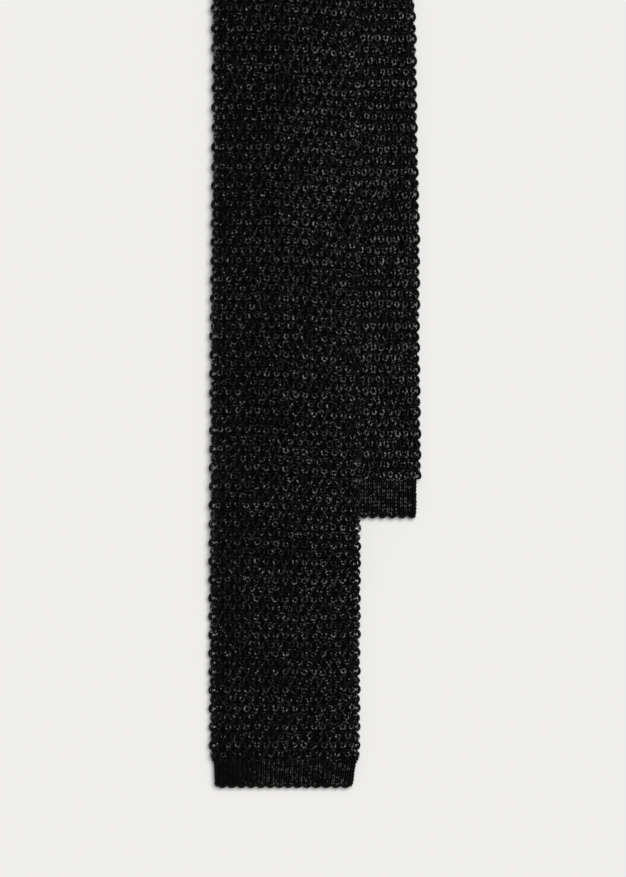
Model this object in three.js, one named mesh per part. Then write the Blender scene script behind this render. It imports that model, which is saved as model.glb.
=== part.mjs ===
// Silk knit necktie, laid out flat and folded once at the neck: the wide front
// blade lies over the narrower back blade. Units are millimetres. X runs across
// the blades, Y along them (+Y towards the neck fold), Z up from the table.
//
// The tie is a flattened knitted tube with a seam down its inner side. Every
// tube below is a C-shaped wall whose slit is that seam. The face side turns
// outwards all round the neck fold, so the slit is under the front blade and on
// top of the back blade.
import * as THREE from 'three';

// ---- driving dimensions -------------------------------------------------
const FRONT_WIDTH = 63.5;      // front blade, 2 1/2 in
const BACK_WIDTH = 50.8;       // back blade, 2 in
const NECK_WIDTH = 36;         // neck band
const THICK = 4.0;             // flattened tube, both layers
const WALL = 1.75;             // one layer of bumpy knit
const SLIT_HALF = 0.6;         // half the open seam
const GAP = 0.3;               // room between neighbouring pieces

const Y_TIP_FRONT = -396;      // lower edge of the front hem band
const Y_HEM_FRONT = -384.6;    // where the front hem band meets the blade
const Y_TIP_BACK = -281.7;     // lower edge of the back hem band
const Y_HEM_BACK = -265.2;     // where the back hem band meets the blade
const Y_TIP_BEND = -316;       // flex line above the front tip
const Y_FRONT_BEND = -120;     // flex line across the front blade
const Y_FRONT_JOIN = 60;       // front blade linked to the neck band
const Y_BACK_SWING = 62;       // flex point of the back blade
const Y_BACK_JOIN = -40;       // back blade linked to its tapered upper part
const Y_FOLD_END = 372;        // where the bent part of the neck begins
const Y_FOLD_CENTRE = 390;     // centre of the neck bend
const Z_FOLD_CENTRE = 6;
const FOLD_RADIUS = 4;         // to the middle of the tube

const FRONT_CENTRE = -12.45;   // centre line of the front blade
const BACK_CENTRE = 18.8;      // centre line of the back blade at its tip
const BACK_LEAN = 2.5 / 219;   // the back blade lies slightly askew
const LIFT = 4.9;              // underside of the front blade over the back one
const SIDE_LIFT = 1.0;         // underside of the part beside the back blade
const FOLD_LIFT = 3.1;         // extra height towards the soft neck bend
const DRAPE_WIDTH = 24;        // how far the front blade takes to fall sideways

const HEM_THICK = 3.4;
const HEM_WALL = 1.1;
const LABEL_THICK = 0.35;

// ---- the lie of the two blades --------------------------------------------
const clamp = (t) => Math.min(1, Math.max(0, t));
const smooth = (t) => { const c = clamp(t); return c * c * (3 - 2 * c); };
const mix = (a, b, t) => a + (b - a) * t;

const frontHalf = (y) => mix(FRONT_WIDTH / 2, NECK_WIDTH / 2, smooth((y + 40) / 100));
const backHalf = (y) => mix(BACK_WIDTH / 2, NECK_WIDTH / 2, smooth((y + 40) / 100));
const frontCentre = (y) => mix(FRONT_CENTRE, 0, smooth((y + 40) / 240));
const backCentre = (y) =>
  mix(BACK_CENTRE - BACK_LEAN * (Math.min(y, -40) - Y_HEM_BACK), 0, smooth((y + 40) / 240));

// Height of the front blade's underside: full over the back blade, falling to
// the table beyond its left edge and below its tip.
function under(x, y) {
  const left = backCentre(y) - backHalf(y) - 1.4;
  const side = smooth((x - (left - DRAPE_WIDTH)) / DRAPE_WIDTH);
  const along = smooth((y + 330) / 46);
  return along * (SIDE_LIFT + (LIFT - SIDE_LIFT) * side) + FOLD_LIFT * smooth((y - 330) / 55);
}

// ---- building blocks --------------------------------------------------------
// Cross-section of a flattened tube as [across, height]: height 0 is the seam
// side, height `thick` the face side. `cols` sets the points across each half.
function tubeSection(half, thick, wall, cols, slit = SLIT_HALF) {
  const r = thick / 2;
  const e = half - r;
  const us = [];
  for (let i = 0; i <= cols; i += 1) us.push(mix(slit, e, i / cols));
  const pts = [];
  for (const u of us) pts.push([u, 0]);
  for (const a of [-45, 0, 45]) {
    const t = (a * Math.PI) / 180;
    pts.push([e + r * Math.cos(t), r + r * Math.sin(t)]);
  }
  for (const u of [...us].reverse()) pts.push([u, thick]);
  for (const u of us) pts.push([-u, thick]);
  for (const a of [135, 180, 225]) {
    const t = (a * Math.PI) / 180;
    pts.push([-e + r * Math.cos(t), r + r * Math.sin(t)]);
  }
  for (const u of [...us].reverse()) pts.push([-u, 0]);
  for (const u of us) pts.push([-u, wall]);
  pts.push([-(half - wall), r]);
  for (const u of [...us].reverse()) pts.push([-u, thick - wall]);
  for (const u of us) pts.push([u, thick - wall]);
  pts.push([half - wall, r]);
  for (const u of [...us].reverse()) pts.push([u, wall]);
  return pts;
}

const box2 = (u0, u1, h0, h1) => [[u0, h0], [u1, h0], [u1, h1], [u0, h1]];

// Skin a row of matching closed loops, close both ends and turn it outwards.
function loft(loops, flat) {
  const n = loops[0].length;
  const pos = [];
  for (const loop of loops) for (const p of loop) pos.push(...p);
  const tri = [];
  for (let s = 0; s + 1 < loops.length; s += 1) {
    for (let i = 0; i < n; i += 1) {
      const j = (i + 1) % n;
      const a = s * n + i, b = s * n + j, c = a + n, d = b + n;
      tri.push([a, b, d], [a, d, c]);
    }
  }
  const cap = THREE.ShapeUtils.triangulateShape(flat.map(([u, h]) => new THREE.Vector2(u, h)), []);
  const last = (loops.length - 1) * n;
  const ccw = THREE.ShapeUtils.area(flat.map(([u, h]) => new THREE.Vector2(u, h))) > 0;
  for (const [a, b, c] of cap) {
    if (ccw) tri.push([a, c, b], [last + a, last + b, last + c]);
    else tri.push([a, b, c], [last + a, last + c, last + b]);
  }
  // volume of the skinned body: its sign says which way the loops ran
  let vol = 0;
  const v = (i) => [pos[3 * i], pos[3 * i + 1], pos[3 * i + 2]];
  for (const [a, b, c] of tri) {
    const [p, q, r] = [v(a), v(b), v(c)];
    vol += p[0] * (q[1] * r[2] - q[2] * r[1]) - p[1] * (q[0] * r[2] - q[2] * r[0])
      + p[2] * (q[0] * r[1] - q[1] * r[0]);
  }
  const index = vol < 0 ? tri.map(([a, b, c]) => [a, c, b]) : tri;
  const geometry = new THREE.BufferGeometry();
  geometry.setAttribute('position', new THREE.Float32BufferAttribute(pos, 3));
  geometry.setIndex(index.flat());
  geometry.computeVertexNormals();
  return geometry;
}

// A loop of the front blade at y: `flat` points ride on the draped underside.
const frontLoop = (flat, y, centre = frontCentre(y), z0 = 0) =>
  flat.map(([u, h]) => { const x = centre + u; return [x, y, under(x, y) + z0 + h]; });
// The back blade lies seam side up.
const backLoop = (flat, y, centre = backCentre(y), z0 = 0) =>
  flat.map(([u, h]) => [centre + u, y, THICK - z0 - h]);
// Round the neck bend: angle 0 joins the front blade, PI the back blade.
const foldLoop = (flat, angle) => flat.map(([u, h]) => {
  const r = FOLD_RADIUS - THICK / 2 + h;
  return [u, Y_FOLD_CENTRE + r * Math.sin(angle), Z_FOLD_CENTRE + r * Math.cos(angle)];
});

const frontTube = (ys, cols) => loft(
  ys.map((y) => frontLoop(tubeSection(frontHalf(y), THICK, WALL, cols), y)),
  tubeSection(frontHalf(ys[0]), THICK, WALL, cols));
const backTube = (ys, cols) => loft(
  ys.map((y) => backLoop(tubeSection(backHalf(y), THICK, WALL, cols), y)),
  tubeSection(backHalf(ys[0]), THICK, WALL, cols));
const frontBar = (ys, flat, centre) => loft(ys.map((y) => frontLoop(flat, y, centre)), flat);
const backBar = (ys, flat, centre) => loft(ys.map((y) => backLoop(flat, y, centre)), flat);

// Sewing thread filling the seam slit, clear of both lips.
const SEAM = box2(-0.3, 0.3, 0.3, 1.4);
const seamFront = (ys) => loft(ys.map((y) => frontLoop(SEAM, y)), SEAM);
const seamBack = (ys) => loft(ys.map((y) => backLoop(SEAM, y)), SEAM);

// A thin strip across the front blade's underside, following its drape.
function underStrip(x0, x1, y0, y1, low, high, steps) {
  const flat = box2(0, y1 - y0, low, high);
  const loops = [];
  for (let i = 0; i <= steps; i += 1) {
    const x = mix(x0, x1, i / steps);
    loops.push(flat.map(([v, h]) => [x, y0 + v, under(x, (y0 + y1) / 2) + h]));
  }
  return loft(loops, flat);
}

// ---- pieces -------------------------------------------------------------------
const KNIT = { color: 0x131314, roughness: 0.62, metalness: 0 };
const HEM = { color: 0x18181a, roughness: 0.7, metalness: 0 };
const THREAD = { color: 0x0f0f10, roughness: 0.55, metalness: 0 };
const RIBBON = { color: 0x1b1b1e, roughness: 0.42, metalness: 0 };
const CARE = { color: 0x202023, roughness: 0.5, metalness: 0 };

const tie = new THREE.Group();
tie.name = 'necktie';
function add(name, geometry, look) {
  const mesh = new THREE.Mesh(geometry, new THREE.MeshStandardMaterial(look));
  mesh.name = name;
  tie.add(mesh);
}

// neck band of the back half, lying on the table, up to the bend
add('neck_band_back', backTube([Y_FOLD_END, 200, 165, 130, 100, 80, Y_BACK_SWING + GAP / 2], 1), KNIT);
add('neck_seam_thread_back', seamBack([Y_FOLD_END - 1, 200, 165, 130, 100, 80, Y_BACK_SWING + 1]), THREAD);

// the bend itself, from the front half over and down to the back half
const neckFlat = tubeSection(NECK_WIDTH / 2, THICK, WALL, 1);
const foldAngles = [0, 30, 60, 90, 120, 150, 180].map((a) => (a * Math.PI) / 180);
const foldStart = [Y_FOLD_END + GAP, 380];
const foldPath = (flat, y0) => loft([
  ...[y0, ...foldStart.slice(1)].map((y) => frontLoop(flat, y)),
  ...foldAngles.map((a) => foldLoop(flat, a)),
  backLoop(flat, y0),
], flat);
add('neck_fold_knit', foldPath(neckFlat, foldStart[0]), KNIT);
add('neck_fold_seam_thread', foldPath(SEAM, foldStart[0] + 1), THREAD);

// neck band of the front half, lying on the back one
add('neck_band_front',
  frontTube([Y_FOLD_END, 360, 350, 340, 330, 200, 165, 130, 95, Y_FRONT_JOIN + GAP + 0.25], 2), KNIT);
add('neck_seam_thread_front',
  seamFront([Y_FOLD_END - 1, 360, 350, 340, 330, 200, 165, 130, 95, Y_FRONT_JOIN + 1.5]), THREAD);

// row of linking stitches that joins neck band and front blade
add('front_join_thread',
  frontBar([Y_FRONT_JOIN - 0.25, Y_FRONT_JOIN + 0.25], box2(-15, 15, 1.0, 3.0), frontCentre(Y_FRONT_JOIN)), THREAD);

// front blade in three lengths, parted at its two flex lines
add('front_blade_upper',
  frontTube([Y_FRONT_JOIN - GAP - 0.25, 40, 20, 0, -20, -40, Y_FRONT_BEND + GAP / 2], 5), KNIT);
add('front_seam_thread_upper', seamFront([Y_FRONT_JOIN - 1.5, 40, 20, 0, -20, -40, Y_FRONT_BEND + 1]), THREAD);
add('front_blade_middle',
  frontTube([Y_FRONT_BEND - GAP / 2, -284, -292, -300, -308, Y_TIP_BEND + GAP / 2], 5), KNIT);
add('front_seam_thread_middle',
  seamFront([Y_FRONT_BEND - 1, -284, -292, -300, -308, Y_TIP_BEND + 1]), THREAD);
add('front_blade_tip', frontTube([Y_TIP_BEND - GAP / 2, -323, -330, Y_HEM_FRONT + GAP / 2], 5), KNIT);
add('front_seam_thread_tip', seamFront([Y_TIP_BEND - 1, -323, -330, -370]), THREAD);
add('front_bar_tack', frontBar([-371, -381], box2(-0.3, 0.3, 0.3, 1.6), frontCentre(-375)), THREAD);

// front hem band: fine plain knit, slightly narrower than the blade and tapering
const hemFrontTop = tubeSection(30.5, HEM_THICK, HEM_WALL, 1);
const hemFrontLow = tubeSection(29.0, HEM_THICK, HEM_WALL, 1);
add('front_hem_band', loft([
  frontLoop(hemFrontTop, Y_HEM_FRONT - GAP / 2, -12.7, 0.3),
  frontLoop(hemFrontLow, Y_TIP_FRONT, -13.3, 0.3),
], hemFrontTop), HEM);
// the hem is turned up inside itself: its facing lies between the two layers
const facing = (w) => box2(-w, w, 1.7, 2.3);
add('front_hem_facing', frontBar([Y_HEM_FRONT - 0.8, Y_TIP_FRONT + 1.2], facing(25), -13), HEM);

// back blade: tapered upper part, linking row, blade, hem band
add('back_blade_upper',
  backTube([Y_BACK_SWING - GAP / 2, 40, 20, 0, -20, Y_BACK_JOIN + GAP + 0.25], 1), KNIT);
add('back_join_thread',
  backBar([Y_BACK_JOIN + 0.25, Y_BACK_JOIN - 0.25], box2(-21, 21, 1.0, 3.0), backCentre(Y_BACK_JOIN)), THREAD);
add('back_blade_lower', backTube([Y_BACK_JOIN - GAP - 0.25, Y_HEM_BACK + GAP / 2], 1), KNIT);
add('back_seam_thread_upper', seamBack([Y_BACK_SWING - 1, 40, 20, 0, -20, Y_BACK_JOIN + 1.5]), THREAD);
add('back_seam_thread_lower', seamBack([Y_BACK_JOIN - 1.5, -250]), THREAD);
add('back_bar_tack', backBar([-251, -261], box2(-0.3, 0.3, 0.3, 1.6), backCentre(-256)), THREAD);
const hemBack = tubeSection(24.4, HEM_THICK, HEM_WALL, 1);
add('back_hem_band', loft([
  backLoop(hemBack, Y_HEM_BACK - GAP / 2, BACK_CENTRE - 0.2, 0.3),
  backLoop(hemBack, Y_TIP_BACK, BACK_CENTRE - 0.1, 0.3),
], hemBack), HEM);
add('back_hem_facing', backBar([Y_HEM_BACK - 0.8, Y_TIP_BACK + 1.2], facing(19.5), BACK_CENTRE - 0.2), HEM);

// blank keeper label, sewn down at its two ends only: the back blade can be
// tucked through it
const KEEPER_X = [-34.5, 9.6], KEEPER_Y = [-196, -180];
add('keeper_label',
  underStrip(KEEPER_X[0], KEEPER_X[1], KEEPER_Y[0], KEEPER_Y[1], -0.6, -0.6 + LABEL_THICK, 14), RIBBON);
add('keeper_stitch_left',
  underStrip(KEEPER_X[0] - 0.9, KEEPER_X[0] - 0.4, -195, -181, -0.6, -0.25, 1), THREAD);
add('keeper_stitch_right',
  underStrip(KEEPER_X[1] + 0.4, KEEPER_X[1] + 0.9, -195, -181, -0.6, -0.25, 1), THREAD);
// blank care label hanging from one stitched edge below the keeper
add('care_label', underStrip(-24, -1, -232, -202, -0.6, -0.6 + LABEL_THICK, 8), CARE);
add('care_label_stitch', underStrip(-22, -3, -200.8, -200.3, -0.6, -0.25, 8), THREAD);

export default tie;
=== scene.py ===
"""A silk knit necktie, folded once at the neck and laid flat: wide front blade over the narrow back blade.
Every stitch is a strand of yarn. Lengths are in millimetres until a mesh is made."""

import math

import bpy
import numpy as np
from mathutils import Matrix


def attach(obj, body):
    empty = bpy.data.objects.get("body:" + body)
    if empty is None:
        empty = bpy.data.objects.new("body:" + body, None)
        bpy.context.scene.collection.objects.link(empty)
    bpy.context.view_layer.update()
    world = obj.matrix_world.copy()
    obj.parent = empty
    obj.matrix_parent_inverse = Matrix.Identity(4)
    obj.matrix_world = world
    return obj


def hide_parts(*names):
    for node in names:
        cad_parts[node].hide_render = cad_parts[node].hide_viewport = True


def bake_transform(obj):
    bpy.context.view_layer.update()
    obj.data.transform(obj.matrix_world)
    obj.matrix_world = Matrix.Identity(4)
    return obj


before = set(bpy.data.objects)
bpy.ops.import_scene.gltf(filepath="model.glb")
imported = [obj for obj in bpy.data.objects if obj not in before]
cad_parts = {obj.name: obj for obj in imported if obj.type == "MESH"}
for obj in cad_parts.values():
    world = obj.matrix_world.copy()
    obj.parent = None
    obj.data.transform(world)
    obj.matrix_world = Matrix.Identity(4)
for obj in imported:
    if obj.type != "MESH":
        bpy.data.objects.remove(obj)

MM = 0.001
TAU = 2 * math.pi
rng = np.random.default_rng(20)
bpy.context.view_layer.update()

# ------------------------------------------------------------------ the lie of the tie, as in the CAD
THICK = 4.0
FRONT_WIDTH, BACK_WIDTH, NECK_WIDTH = 63.5, 50.8, 36.0
Y_TIP_FRONT, Y_HEM_FRONT = -396.0, -384.6
Y_TIP_BACK, Y_HEM_BACK = -281.7, -265.2
Y_FRONT_JOIN, Y_BACK_JOIN = 60.0, -40.0
Y_FOLD, Z_FOLD, R_FOLD = 390.0, 6.0, 4.0
ARC = math.pi * R_FOLD
S_BACK = Y_FOLD + ARC  # path length where the back half starts at the bend


def smooth(t):
    t = np.clip(t, 0, 1)
    return t * t * (3 - 2 * t)


def mix(a, b, t):
    return a + (b - a) * t


def front_half(y):
    return mix(FRONT_WIDTH / 2, NECK_WIDTH / 2, smooth((y + 40) / 100))


def back_half(y):
    return mix(BACK_WIDTH / 2, NECK_WIDTH / 2, smooth((y + 40) / 100))


def front_centre(y):
    return mix(-12.45, 0.0, smooth((y + 40) / 240))


def back_centre(y):
    return mix(
        18.8 - 2.5 / 219 * (np.minimum(y, -40) - Y_HEM_BACK), 0.0, smooth((y + 40) / 240)
    )


def under(x, y):
    left = back_centre(y) - back_half(y) - 1.4
    side = smooth((x - (left - 24)) / 24)
    return smooth((y + 330) / 46) * (1.0 + 3.9 * side) + 3.1 * smooth((y - 330) / 55)


def back_s(y):
    """Path length of a point of the back half that lies at y."""
    return S_BACK + (Y_FOLD - y)


def split_path(s):
    """For a path length: the place along Y, and which of front, bend and back it is on."""
    front, back = s <= Y_FOLD, s >= S_BACK
    y = np.where(front, s, np.where(back, Y_FOLD - (s - S_BACK), Y_FOLD))
    return y, front, back


def half_at(s):
    y, front, back = split_path(s)
    return np.where(front, front_half(y), np.where(back, back_half(y), NECK_WIDTH / 2))


def place(s, u, w, centre=None):
    """Path length, place across and height above the seam side, as points in the row frame."""
    y, front, back = split_path(s)
    if centre is None:
        cx = np.where(front, front_centre(y), np.where(back, back_centre(y), 0.0))
    else:
        cx = centre(y)
    x = cx + u
    a = np.clip((s - Y_FOLD) / R_FOLD, 0, math.pi)
    r = R_FOLD - THICK / 2 + w
    z = np.where(
        front, under(x, y) + w, np.where(back, THICK - w, Z_FOLD + r * np.cos(a))
    )
    yy = np.where(front | back, y, Y_FOLD + r * np.sin(a))
    return np.stack([x, yy, z], -1)


# ------------------------------------------------------------------ a knitted tube and its columns of stitches
class Tube:
    def __init__(self, columns, margin, core, half=None, centre=None, wave=None, tip=None):
        self.columns, self.margin, self.core = columns, margin, core
        self.half = half or half_at
        self.centre, self.wave, self.tip = centre, wave, tip

    def edge(self, s):
        return self.half(s) - self.margin

    def pitch(self, s):
        return (4 * self.edge(s) + TAU * self.core) / self.columns

    def __call__(self, c, s, h):
        """Column number, path length and height above the ground fabric, as points."""
        e = self.edge(s)
        p = c * self.pitch(s)
        ap, sg = np.abs(p), np.sign(p)
        turn = math.pi * self.core
        th = np.clip((ap - e) / self.core, 0, math.pi)
        flat_u = np.where(ap <= e, ap, e - (ap - e - turn))
        bent = (ap > e) & (ap < e + turn)
        u = sg * np.where(bent, e + (self.core + h) * np.sin(th), flat_u)
        w = THICK / 2 + (self.core + h) * np.cos(th)
        if self.wave is not None:
            s = s + self.wave(u / (e + 1.5), s)
        if self.tip is not None:
            s = s + self.tip(u, s)
        return place(s, u, w, self.centre)


class BumpTube(Tube):
    """A tube of coarse knit. Its columns keep their pitch up to the edge, where one turns over."""

    def __init__(self, columns, half=None, centre=None, wave=None):
        super().__init__(columns, 0, 0.7, half, centre, wave)
        self.flat = columns / 4 - 0.5  # column at which the turn begins

    def pitch(self, s):
        return (self.half(s) - 1.75) / self.flat

    def __call__(self, c, s, h):
        q = self.pitch(s)
        ac, sg = np.abs(c), np.sign(c)
        start = self.flat * q
        th = math.pi * np.clip(ac - self.flat, 0, 1)
        bent = (ac > self.flat) & (ac < self.flat + 1)
        r = self.core + h * np.where(bent, 1 - 0.45 * np.sin(th) ** 2, 1.0)
        flat_u = np.where(ac <= self.flat, ac * q, start - (ac - self.flat - 1) * q)
        u = sg * np.where(bent, start + r * np.sin(th), flat_u)
        w = THICK / 2 + r * np.cos(th)
        if self.wave is not None:
            s = s + self.wave(u / self.half(s), s)
        return place(s, u, w, self.centre)


def spline(points, n):
    """A smooth line through control points, as n points spread evenly along it."""
    p = np.array(points, float)
    q = np.vstack([2 * p[0] - p[1], p, 2 * p[-1] - p[-2]])
    out = []
    for i in range(1, len(q) - 2):
        t = np.linspace(0, 1, 12, endpoint=False)[:, None]
        a, b, c, d = q[i - 1], q[i], q[i + 1], q[i + 2]
        out.append(
            0.5
            * (
                2 * b
                + (c - a) * t
                + (2 * a - 5 * b + 4 * c - d) * t**2
                + (3 * b - a - 3 * c + d) * t**3
            )
        )
    line = np.vstack(out + [p[-1:]])
    d = np.concatenate([[0], np.cumsum(np.linalg.norm(np.diff(line, axis=0), axis=1))])
    at = np.linspace(0, d[-1], n)
    return np.stack([np.interp(at, d, line[:, k]) for k in range(3)], -1)


def mirrored(points):
    """A symmetric strand from its left half, the last point of which lies on the middle."""
    left = [tuple(p) for p in points]
    return left + [(-x, y, h) for x, y, h in reversed(left[:-1])]


GLINT_LOW, GLINT_HIGH, EDGE = 5, 6, 7  # material slots of the yarn: painted glints, lighter yarn colours standing in for highlights, and the edges


class Heap:
    """Strands collected for one mesh."""

    def __init__(self):
        self.v, self.f, self.n = [], [], 0

    def faces(self, verts, faces, tone):
        faces = np.asarray(faces)
        self.v.append(np.asarray(verts, float).reshape(-1, 3))
        self.f.append(
            (faces + self.n, np.broadcast_to(np.asarray(tone), (len(faces),)))
        )
        self.n += len(self.v[-1])

    def strands(self, P, N, R, sides, tone, twist=0.0, painted_glint_share=None):
        """P: n strands of k points, N: the fabric's outward direction there, R: radius.

        A strand with a twist is two plies turned round each other once in that length.
        Its outward facets get the glint colours at the glint share given: painted highlights where silk filaments would
        catch the light.
        """
        P = np.asarray(P, float)
        n, k, _ = P.shape
        T = np.gradient(P, axis=1)
        T /= np.linalg.norm(T, axis=2, keepdims=True) + 1e-12
        S = np.cross(T, N)
        S /= np.linalg.norm(S, axis=2, keepdims=True) + 1e-12
        U = np.cross(S, T)
        R = np.broadcast_to(np.asarray(R, float), (n, k))
        a = np.arange(sides) * TAU / sides
        if twist:
            step = np.linalg.norm(np.diff(P, axis=1), axis=2)
            along = np.concatenate([np.zeros((n, 1)), np.cumsum(step, axis=1)], axis=1)
            turn = along * TAU / twist + (np.arange(n) * 2.399 % TAU)[:, None]
            plies = 0.52 + 0.48 * np.abs(np.cos(a)) ** 0.8
            a = a[None, None] + turn[:, :, None]
            ca, sa = np.cos(a) * plies, np.sin(a) * plies
        else:
            a = np.broadcast_to(a, (1, k, sides))
            ca, sa = np.cos(a), np.sin(a)
        ring = P[:, :, None] + R[:, :, None, None] * (
            ca[..., None] * S[:, :, None] + sa[..., None] * U[:, :, None]
        )
        base = (np.arange(n) * k * sides)[:, None, None]
        row = (np.arange(k - 1) * sides)[None, :, None]
        i = np.arange(sides)[None, None]
        j = (i + 1) % sides
        quads = np.stack(
            [base + row + i, base + row + sides + i, base + row + sides + j, base + row + j],
            -1,
        ).reshape(-1, 4)
        tone = np.broadcast_to(np.asarray(tone), (n,))
        skin = np.repeat(tone, (k - 1) * sides)
        # painted highlights: facets facing outward get a light glint colour in place of a real specular glint
        if painted_glint_share is not None:
            up = np.sin(a[:, :-1] + math.pi / sides) > 0.45
            lit = rng.random((n, k - 1)) < (painted_glint_share if np.ndim(painted_glint_share) == 2 else painted_glint_share[:, None])
            shine = np.where(rng.random((n, k - 1)) < 0.42, GLINT_HIGH, GLINT_LOW)
            lit = np.broadcast_to(lit[..., None] & up, (n, k - 1, sides)).reshape(-1)
            skin = np.where(lit, np.repeat(shine.reshape(-1), sides), skin)
        self.v.append(ring.reshape(-1, 3))
        start = (np.arange(n) * k * sides)[:, None] + np.arange(sides)
        end = (np.arange(n) * k * sides + (k - 1) * sides)[:, None] + np.arange(sides)[::-1]
        self.f.append((quads + self.n, skin))
        self.f.append((start + self.n, tone))
        self.f.append((end + self.n, tone))
        self.n += n * k * sides

    def mesh(self, name, materials, smooth_shading=True):
        verts = np.vstack(self.v) * MM
        loops = np.concatenate([f.ravel() for f, _ in self.f])
        total = np.concatenate([np.full(len(f), f.shape[1]) for f, _ in self.f])
        tone = np.concatenate([t for _, t in self.f])
        me = bpy.data.meshes.new(name)
        me.vertices.add(len(verts))
        me.vertices.foreach_set("co", verts.astype(np.float32).ravel())
        me.loops.add(len(loops))
        me.loops.foreach_set("vertex_index", loops.astype(np.int32))
        me.polygons.add(len(total))
        start = np.concatenate([[0], np.cumsum(total)[:-1]])
        me.polygons.foreach_set("loop_start", start.astype(np.int32))
        me.polygons.foreach_set("loop_total", total.astype(np.int32))
        for m in materials:
            me.materials.append(m)
        me.polygons.foreach_set(
            "material_index", np.minimum(tone, len(materials) - 1).astype(np.int32)
        )
        me.polygons.foreach_set("use_smooth", np.full(len(total), smooth_shading))
        me.update(calc_edges=True)
        me.validate()
        ob = bpy.data.objects.new(name, me)
        bpy.context.scene.collection.objects.link(ob)
        return ob


# ------------------------------------------------------------------ materials
def cloth(name, colour, rough, sheen=0.0, spec=0.5, sheen_rough=0.4):
    m = bpy.data.materials.new(name)
    m.use_nodes = True
    b = m.node_tree.nodes["Principled BSDF"]
    b.inputs["Base Color"].default_value = (*colour, 1)
    b.inputs["Roughness"].default_value = rough
    b.inputs["Specular IOR Level"].default_value = spec
    b.inputs["Sheen Weight"].default_value = sheen
    b.inputs["Sheen Roughness"].default_value = sheen_rough
    b.inputs["Sheen Tint"].default_value = (0.75, 0.76, 0.8, 1)
    return m


YARN = [
    cloth("silk_yarn_1", (0.0013, 0.0013, 0.0014), 0.38, 0.0, 0.14),
    cloth("silk_yarn_2", (0.0026, 0.0026, 0.0026), 0.33, 0.0, 0.22),
    cloth("silk_yarn_3", (0.0009, 0.0009, 0.0010), 0.46, 0.0, 0.09),
    cloth("silk_yarn_4", (0.0042, 0.0041, 0.0042), 0.30, 0.0, 0.30),
    cloth("silk_yarn_5", (0.0016, 0.0016, 0.0016), 0.40, 0.0, 0.14),
    # silk_glint_1 and silk_glint_2 are painted highlights: light yarn colours put on facets where a glint would fall
    cloth("silk_glint_1", (0.0500, 0.0500, 0.0505), 0.28, 0.02, 0.60),
    cloth("silk_glint_2", (0.2400, 0.2380, 0.2390), 0.24, 0.03, 0.90),
    cloth("edge_yarn", (0.0034, 0.0033, 0.0033), 0.62, 0.0, 0.06),
]
HEMS = [
    cloth("hem_yarn_1", (0.0034, 0.0034, 0.0036), 0.48, 0.0, 0.12),
    cloth("hem_yarn_2", (0.0056, 0.0056, 0.0057), 0.42, 0.0, 0.15),
    cloth("hem_yarn_3", (0.0022, 0.0022, 0.0023), 0.52, 0.0, 0.10),
    cloth("hem_edge_yarn", (0.0044, 0.0035, 0.0024), 0.55, 0.0, 0.08),
    cloth("hem_yarn_4", (0.0060, 0.0059, 0.0060), 0.34, 0.01, 0.38),
    # hem_glint_1 and hem_glint_2 are painted highlights on the hem's stitches
    cloth("hem_glint_1", (0.0340, 0.0340, 0.0345), 0.30, 0.02, 0.45),
    cloth("hem_glint_2", (0.0800, 0.0790, 0.0790), 0.30, 0.02, 0.50),
]
GROUND = cloth("ground_knit", (0.0012, 0.0012, 0.0013), 0.9, 0.0, 0.05)
THREAD = cloth("sewing_thread", (0.0060, 0.0060, 0.0064), 0.34, 0.02, 0.45)
RIBBON = cloth("satin_ribbon", (0.0055, 0.0055, 0.0062), 0.34, 0.03, 0.40)
CARE = cloth("care_tape", (0.0130, 0.0130, 0.0145), 0.46, 0.04, 0.35)

# ------------------------------------------------------------------ stitch shapes, in mm about a bump's middle
BUMP = 3.99  # column pitch that the shapes are drawn for
ROW = 3.89
# the bump itself: a cup of yarn round a small hole, and the strand that hugs it from below
ring = mirrored(
    [
        (-0.36, 1.06, 0.05),
        (-0.76, 0.74, 0.60),
        (-0.95, 0.12, 0.92),
        (-0.82, -0.46, 1.04),
        (-0.44, -0.84, 1.10),
        (0.0, -0.94, 1.10),
    ]
)
hug = mirrored(
    [
        (-1.34, 1.20, -0.30),
        (-1.50, 0.62, 0.02),
        (-1.44, -0.05, 0.36),
        (-1.12, -0.80, 0.60),
        (-0.58, -1.32, 0.68),
        (0.0, -1.48, 0.70),
    ]
)
# the yarn that runs sideways between two rows
ladder = [(-2.10, -1.75, -0.25), (-1.45, -2.05, 0.05), (-0.60, -1.92, 0.22), (0.35, -2.30, 0.16), (1.25, -2.12, 0.05), (2.05, -2.40, -0.25)]
# the feet of the loops between the rows, and the legs that climb to the next row
foot = mirrored([(-1.62, -3.15, -0.50), (-1.30, -2.60, -0.15), (-0.74, -2.18, 0.08), (0.0, -2.02, 0.16)])
foot_2 = mirrored([(-1.15, -3.15, -0.55), (-0.86, -2.84, -0.25), (-0.45, -2.62, -0.05), (0.0, -2.55, 0.0)])
leg_r = [(1.10, 0.90, 0.10), (1.55, 1.60, 0.05), (1.86, 2.35, -0.15), (2.02, 3.10, -0.50)]
leg_l = [(-x, y, h) for x, y, h in leg_r]


def lay(heap, tube, template, k, c, s, way, radius, sides, tone, twist, painted_glint_share, hs, dh, turn, grow, row):
    """Puts one copy of a strand at each bump of the arrays c, s."""
    t = spline(template, k)
    cx, sy = np.cos(turn)[:, None], np.sin(turn)[:, None]
    x = (t[:, 0] * cx - t[:, 1] * sy) * grow[:, None]
    y = (t[:, 0] * sy + t[:, 1] * cx) * grow[:, None] * (row / ROW)[:, None]
    C = c[:, None] + x / BUMP
    S = s[:, None] + way * y
    H = t[:, 2] * hs[:, None] + dh[:, None]
    P = tube(C, S, H)
    N = tube(C, S, H + 0.3) - P
    N /= np.linalg.norm(N, axis=2, keepdims=True) + 1e-12
    thin = np.clip(tube.pitch(s) / BUMP, 0.5, 1.15) ** 0.6
    heap.strands(P, N, radius * thin[:, None] * np.ones(k), sides, tone, twist, painted_glint_share)


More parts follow.
